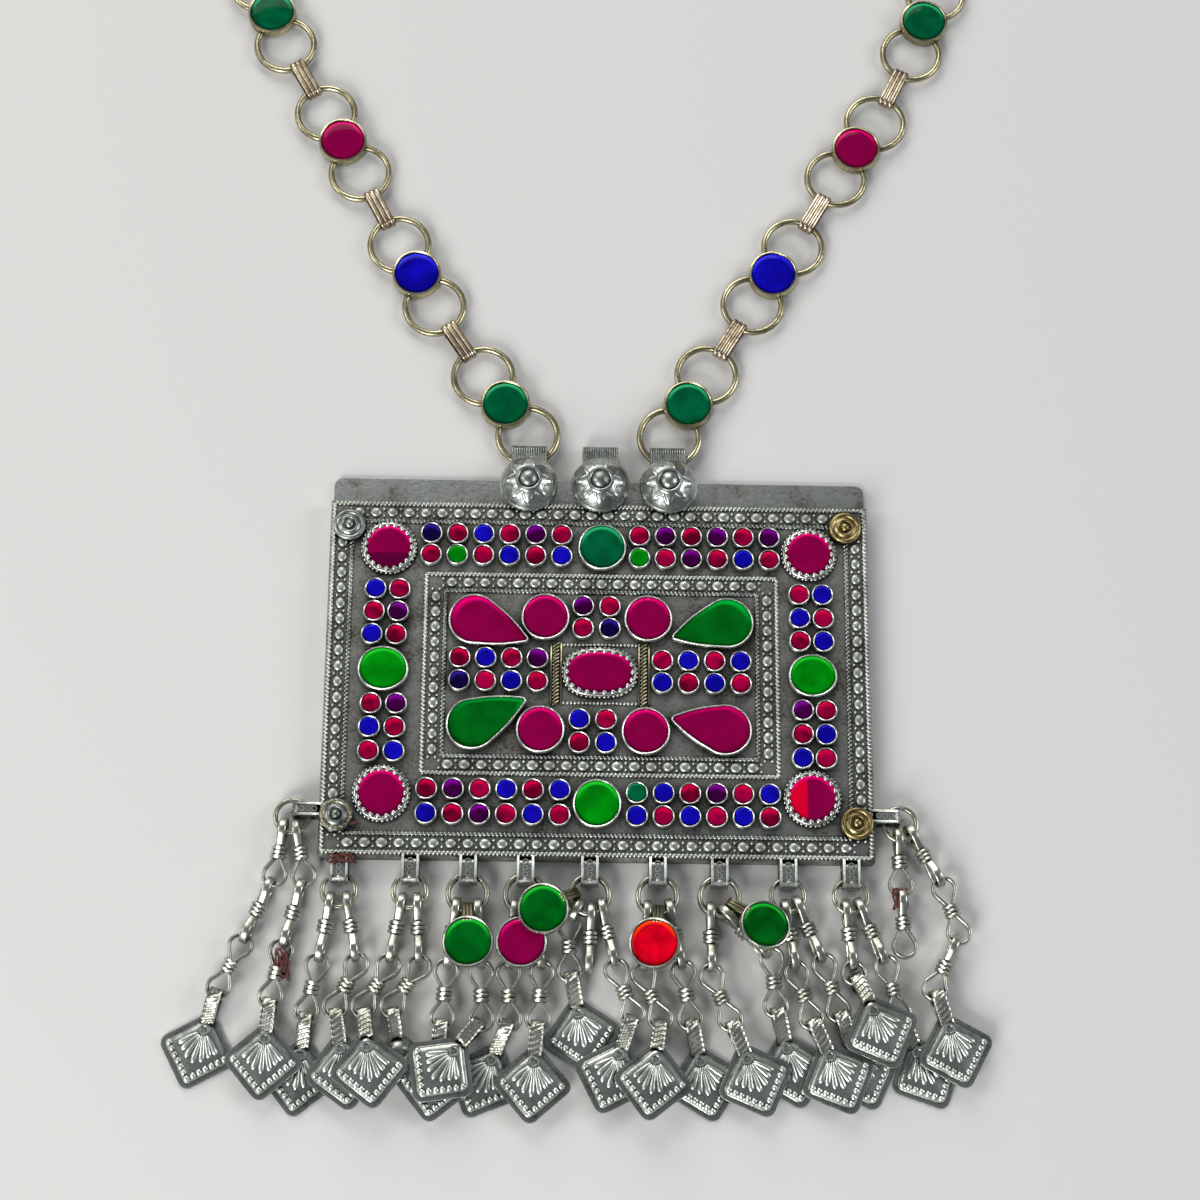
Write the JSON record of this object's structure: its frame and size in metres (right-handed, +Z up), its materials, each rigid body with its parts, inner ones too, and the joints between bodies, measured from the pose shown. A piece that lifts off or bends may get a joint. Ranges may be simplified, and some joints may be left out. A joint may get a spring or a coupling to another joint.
{
  "type": "amulet necklace",
  "caption": "Flat rectangular amulet case with glass stones in bezels, on a chain of paired rings, with linked strands that end in stamped plaques.",
  "frame": {"origin": "centre of the amulet case's back, on the surface that the necklace lies on", "axes": "+Z up from the surface through the case's face, +Y from the hanging strands to the neck, +X to the right as seen from the front"},
  "size_m": [0.1798, 0.3512, 0.0108],
  "materials": {
    "tarnished_silver": "tarnished silver alloy, dark in the hollows",
    "bright_silver": "worn bright silver alloy",
    "aged_silver": "aged silver alloy with a brassy tone",
    "brass": "worn brass",
    "glass_crimson": "polished crimson glass",
    "glass_red": "polished red glass",
    "glass_blue": "polished blue glass",
    "glass_green": "polished green glass",
    "glass_teal": "polished blue-green glass",
    "glass_dark_green": "polished dark green glass",
    "glass_purple": "polished dark purple glass",
    "glass_navy": "polished dark navy glass"
  },
  "bodies": {
    "root": {"back_plate": "tarnished_silver", "boss_centre": "bright_silver", "boss_left": "bright_silver", "boss_right": "bright_silver", "centre_stone": "glass_crimson", "chain_left": "aged_silver", "chain_right": "aged_silver", "chain_stones_blue": "glass_blue", "chain_stones_crimson": "glass_crimson", "chain_stones_green": "glass_teal", "clasp_hook": "aged_silver", "corner_stone_bottom_left": "glass_crimson", "corner_stone_bottom_right": "glass_crimson", "corner_stone_top_left": "glass_crimson", "corner_stone_top_right": "glass_crimson", "disc_1": "tarnished_silver", "disc_1_stone": "glass_green", "disc_2": "tarnished_silver", "disc_2_stone": "glass_crimson", "disc_3": "tarnished_silver", "disc_3_stone": "glass_green", "disc_4": "tarnished_silver", "disc_4_stone": "glass_red", "disc_5": "tarnished_silver", "disc_5_stone": "glass_green", "drops_1": "tarnished_silver", "drops_2": "tarnished_silver", "drops_3": "tarnished_silver", "drops_4": "tarnished_silver", "drops_5": "tarnished_silver", "drops_6": "tarnished_silver", "drops_7": "tarnished_silver", "drops_8": "tarnished_silver", "drops_9": "tarnished_silver", "drops_left": "tarnished_silver", "drops_right": "tarnished_silver", "face_plate": "tarnished_silver", "green_stone_bottom": "glass_green", "green_stone_left": "glass_green", "green_stone_right": "glass_green", "green_stone_top": "glass_teal", "rosette_bottom_left": "tarnished_silver", "rosette_bottom_right": "brass", "rosette_top_left": "tarnished_silver", "rosette_top_right": "brass", "round_stone_bottom_left": "glass_crimson", "round_stone_bottom_right": "glass_crimson", "round_stone_top_left": "glass_crimson", "round_stone_top_right": "glass_crimson", "small_stones_blue": "glass_blue", "small_stones_crimson": "glass_crimson", "small_stones_green": "glass_green", "small_stones_navy": "glass_navy", "small_stones_purple": "glass_purple", "teardrop_stone_bottom_left": "glass_dark_green", "teardrop_stone_bottom_right": "glass_crimson", "teardrop_stone_top_left": "glass_crimson", "teardrop_stone_top_right": "glass_dark_green"}
  },
  "joints": []
}
